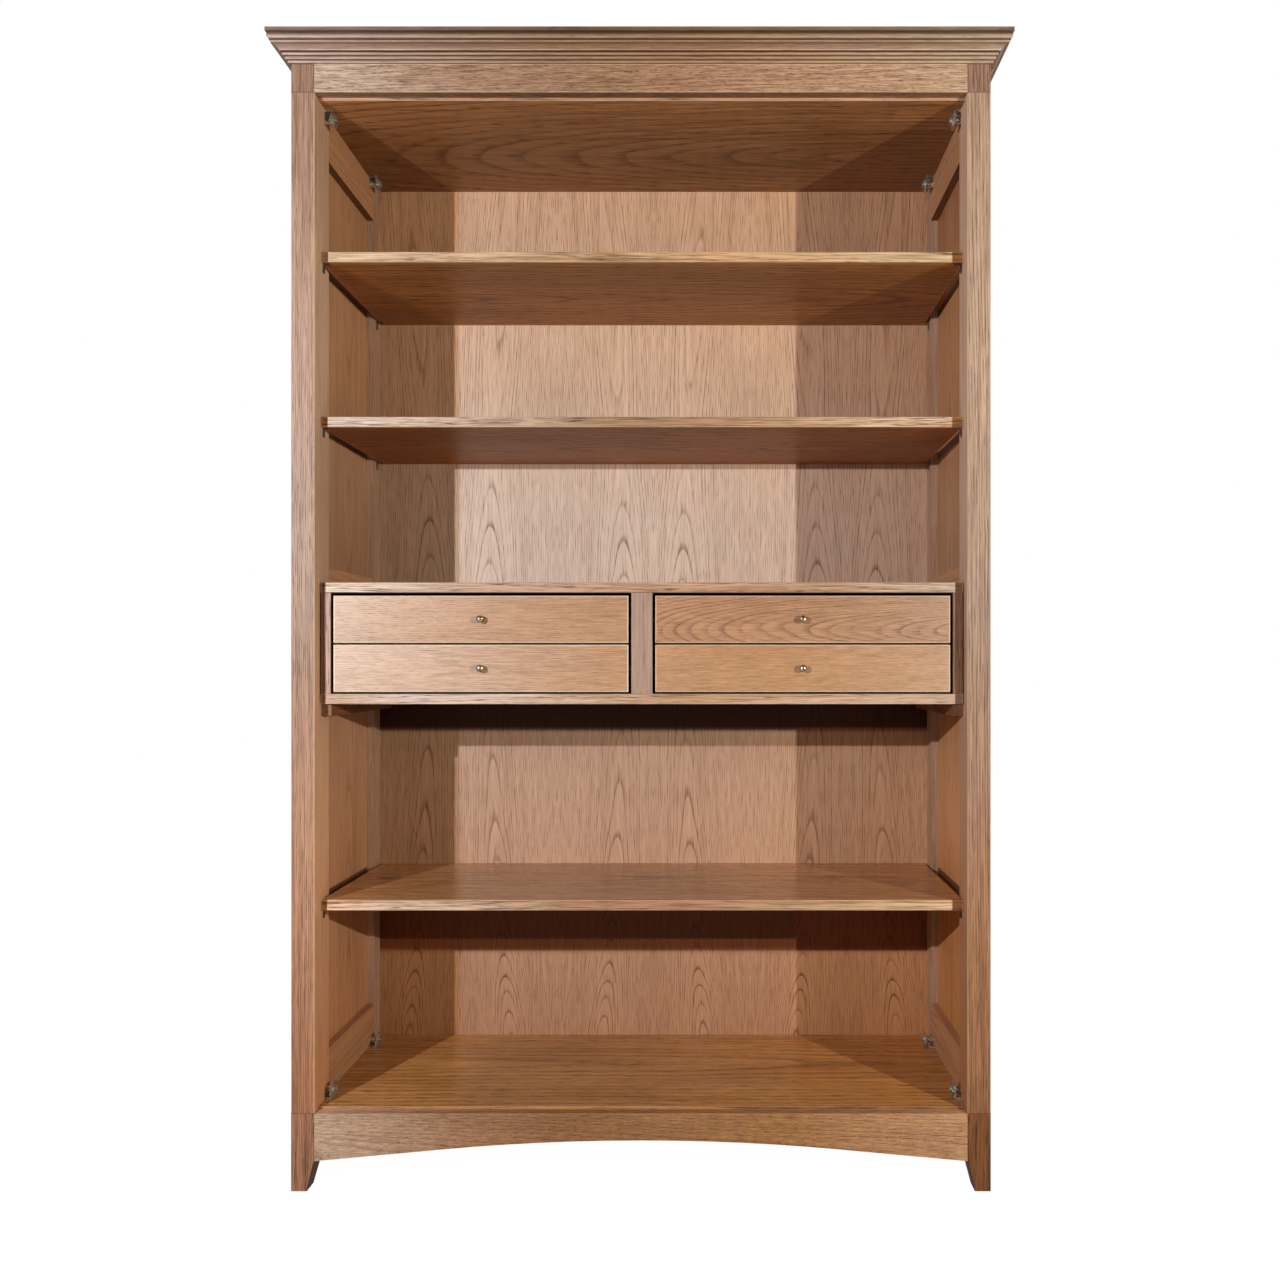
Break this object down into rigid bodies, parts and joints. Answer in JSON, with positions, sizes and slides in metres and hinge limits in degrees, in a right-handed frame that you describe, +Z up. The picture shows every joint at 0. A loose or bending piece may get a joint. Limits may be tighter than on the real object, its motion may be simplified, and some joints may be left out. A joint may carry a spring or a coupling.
{
  "type": "bookcase",
  "caption": "Open-front bookcase with frame-and-panel sides, moulded cornice, loose shelves, a middle case of small drawers and an arched plinth on tapered feet.",
  "frame": {"origin": "on the floor, under the middle of the overall box", "axes": "+Z up, -Y towards the open front, +X to the right seen from the front"},
  "size_m": [1.264, 0.432, 1.978],
  "materials": {
    "wood_frame": "satin",
    "wood_panel": "satin",
    "wood_board": "satin",
    "wood_drawer": "satin",
    "knob_metal": "satin",
    "peg_metal": "matte",
    "fixing_steel": "satin"
  },
  "bodies": {
    "carcass": {"front_leg_right": "wood_frame", "front_leg_left": "wood_frame", "back_leg_right": "wood_frame", "back_leg_left": "wood_frame", "base_apron": "wood_frame", "base_back_rail": "wood_frame", "base_side_rails": "wood_frame", "bottom_board": "wood_board", "board_cleats": "wood_frame", "locating_dowels": "wood_frame", "right_front_post": "wood_frame", "right_back_stile": "wood_frame", "right_bottom_rail": "wood_frame", "right_middle_rail": "wood_frame", "right_top_rail": "wood_frame", "right_lower_panel": "wood_panel", "right_upper_panel": "wood_panel", "left_front_post": "wood_frame", "left_back_stile": "wood_frame", "left_bottom_rail": "wood_frame", "left_middle_rail": "wood_frame", "left_top_rail": "wood_frame", "left_lower_panel": "wood_panel", "left_upper_panel": "wood_panel", "back_panel": "wood_panel", "corner_blocks": "wood_frame", "frieze_front": "wood_frame", "frieze_sides": "wood_frame", "cornice_back_rail": "wood_frame", "top_board": "wood_board", "crown_front": "wood_frame", "crown_right": "wood_frame", "crown_left": "wood_frame", "cornice_cap": "wood_panel", "case_top": "wood_board", "case_bottom": "wood_board", "case_sides": "wood_frame", "centre_stile": "wood_frame", "case_partition": "wood_frame", "case_back": "wood_panel", "drawer_runners": "wood_frame", "case_cleats": "wood_frame", "shelf_pegs": "peg_metal", "corner_plates": "fixing_steel", "corner_bolts": "fixing_steel"},
    "lower_left_drawer": {"lower_left_drawer_front": "wood_drawer", "lower_left_drawer_box": "wood_frame", "lower_left_drawer_knob": "knob_metal"},
    "lower_right_drawer": {"lower_right_drawer_front": "wood_drawer", "lower_right_drawer_box": "wood_frame", "lower_right_drawer_knob": "knob_metal"},
    "upper_left_drawer": {"upper_left_drawer_front": "wood_drawer", "upper_left_drawer_box": "wood_frame", "upper_left_drawer_knob": "knob_metal"},
    "upper_right_drawer": {"upper_right_drawer_front": "wood_drawer", "upper_right_drawer_box": "wood_frame", "upper_right_drawer_knob": "knob_metal"},
    "loose_lower_shelf": {"lower_shelf": "wood_board"},
    "loose_middle_shelf": {"middle_shelf": "wood_board"},
    "loose_upper_shelf": {"upper_shelf": "wood_board"}
  },
  "joints": [
    {"name": "lower_left_drawer_slide", "type": "slide", "parent": "carcass", "child": "lower_left_drawer", "axis": [0, -1, 0], "range_m": [0, 0.28]},
    {"name": "lower_right_drawer_slide", "type": "slide", "parent": "carcass", "child": "lower_right_drawer", "axis": [0, -1, 0], "range_m": [0, 0.28]},
    {"name": "upper_left_drawer_slide", "type": "slide", "parent": "carcass", "child": "upper_left_drawer", "axis": [0, -1, 0], "range_m": [0, 0.28]},
    {"name": "upper_right_drawer_slide", "type": "slide", "parent": "carcass", "child": "upper_right_drawer", "axis": [0, -1, 0], "range_m": [0, 0.28]},
    {"name": "lower_shelf_draw_out", "type": "slide", "parent": "carcass", "child": "loose_lower_shelf", "axis": [0, -1, 0], "range_m": [0, 0.36]},
    {"name": "middle_shelf_draw_out", "type": "slide", "parent": "carcass", "child": "loose_middle_shelf", "axis": [0, -1, 0], "range_m": [0, 0.36]},
    {"name": "upper_shelf_draw_out", "type": "slide", "parent": "carcass", "child": "loose_upper_shelf", "axis": [0, -1, 0], "range_m": [0, 0.36]}
  ]
}
